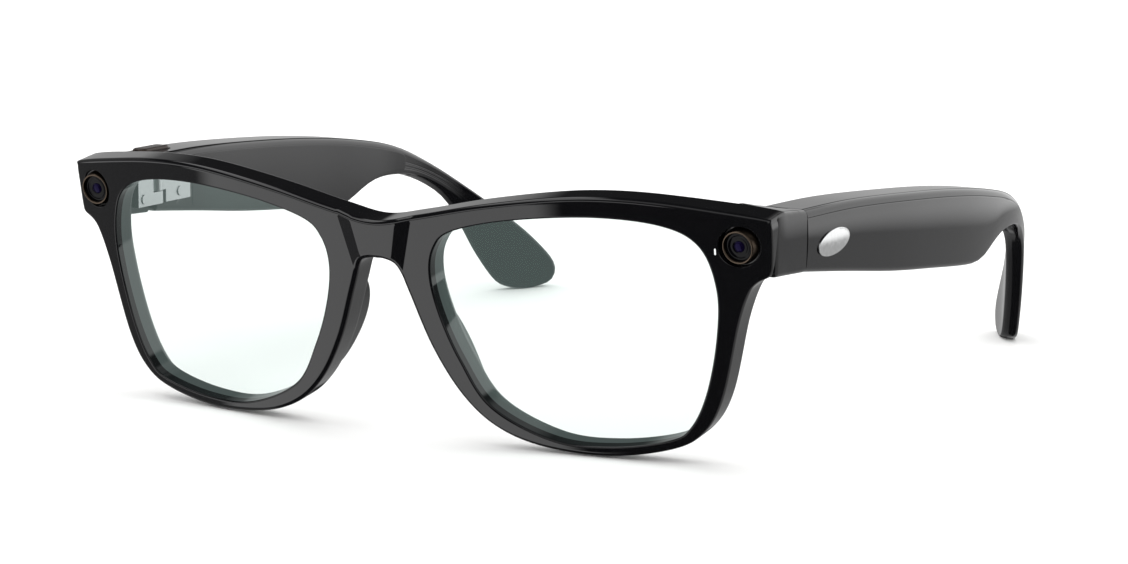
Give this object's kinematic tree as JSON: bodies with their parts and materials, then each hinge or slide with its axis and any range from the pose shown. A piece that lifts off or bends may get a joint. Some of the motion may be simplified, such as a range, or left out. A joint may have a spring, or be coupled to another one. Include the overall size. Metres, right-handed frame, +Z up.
{
  "type": "smart glasses",
  "caption": "Square full-rim smart glasses with corner cameras, clear lenses and thick folding temples that hold speakers, a battery, a touch pad and a capture button.",
  "frame": {"origin": "on the floor, under the middle of the open glasses' box", "axes": "+Z up, the wearer looks along -Y, and the wearer's left is +X"},
  "size_m": [0.1416, 0.1496, 0.0443],
  "materials": {
    "gloss_black": "polished, high gloss",
    "satin_black": "moulded, satin",
    "lens": "polished clear lens with a faint cool anti-glare coating",
    "bezel_bronze": "turned, dark bronze coating",
    "camera_glass": "polished dark cover glass",
    "camera_black": "moulded, matt",
    "circuit_green": "solder-masked board",
    "flex_amber": "polyimide film",
    "light_white": "moulded clear-white light pipe",
    "contact_gold": "gold plated",
    "hinge_steel": "stamped stainless steel, fine satin",
    "emblem_steel": "polished edge, satin face",
    "battery_foil": "laminated foil pouch",
    "button_brown": "moulded, gloss, warm grey-brown"
  },
  "bodies": {
    "front": {"front_frame": "gloss_black", "brow_cover": "satin_black", "lens_left": "lens", "lens_right": "lens", "nose_pad_left": "gloss_black", "nose_pad_right": "gloss_black", "camera_bezel_left": "bezel_bronze", "camera_bezel_right": "bezel_bronze", "camera_window_left": "camera_glass", "camera_window_right": "camera_glass", "camera_barrel_left": "camera_black", "camera_barrel_right": "camera_black", "camera_board_left": "circuit_green", "camera_board_right": "circuit_green", "camera_plug_left": "satin_black", "camera_plug_right": "satin_black", "record_light": "light_white", "front_flex": "flex_amber", "bridge_microphone": "contact_gold", "charge_contacts": "contact_gold", "front_leaf_left": "hinge_steel", "front_leaf_right": "hinge_steel", "hinge_pin_left": "hinge_steel", "hinge_pin_right": "hinge_steel", "front_leaf_screws": "hinge_steel"},
    "temple_left": {"temple_shell_left": "gloss_black", "temple_cover_left": "satin_black", "temple_leaf_left": "hinge_steel", "temple_leaf_screws_left": "hinge_steel", "emblem_left": "emblem_steel", "speaker_left": "camera_black", "speaker_grille_left": "satin_black", "microphone_left": "contact_gold", "tip_core_left": "hinge_steel", "battery": "battery_foil", "charge_board": "circuit_green", "switch_body": "camera_black"},
    "temple_right": {"temple_shell_right": "gloss_black", "temple_cover_right": "satin_black", "temple_leaf_right": "hinge_steel", "temple_leaf_screws_right": "hinge_steel", "emblem_right": "emblem_steel", "speaker_right": "camera_black", "speaker_grille_right": "satin_black", "microphone_right": "contact_gold", "tip_core_right": "hinge_steel", "main_board": "circuit_green", "shield_can": "hinge_steel", "touch_sensor": "flex_amber", "capture_switch": "camera_black"},
    "capture_button": {"capture_button": "button_brown"},
    "power_switch": {"power_switch": "satin_black"}
  },
  "joints": [
    {"name": "fold_left", "type": "hinge", "parent": "front", "child": "temple_left", "pos_m": [0.0602, -0.0534, 0.0362], "axis": [0, 0, 1], "range_deg": [0, 88]},
    {"name": "fold_right", "type": "hinge", "parent": "front", "child": "temple_right", "pos_m": [-0.0602, -0.0534, 0.0362], "axis": [0, 0, -1], "range_deg": [0, 66]},
    {"name": "capture_press", "type": "slide", "parent": "temple_right", "child": "capture_button", "axis": [0, 0, -1], "range_m": [0, 0.0004], "stiffness_N_per_m": 1500, "springref_m": -0.0004},
    {"name": "power_slide", "type": "slide", "parent": "temple_left", "child": "power_switch", "axis": [0, 1, 0], "range_m": [0, 0.002]}
  ]
}
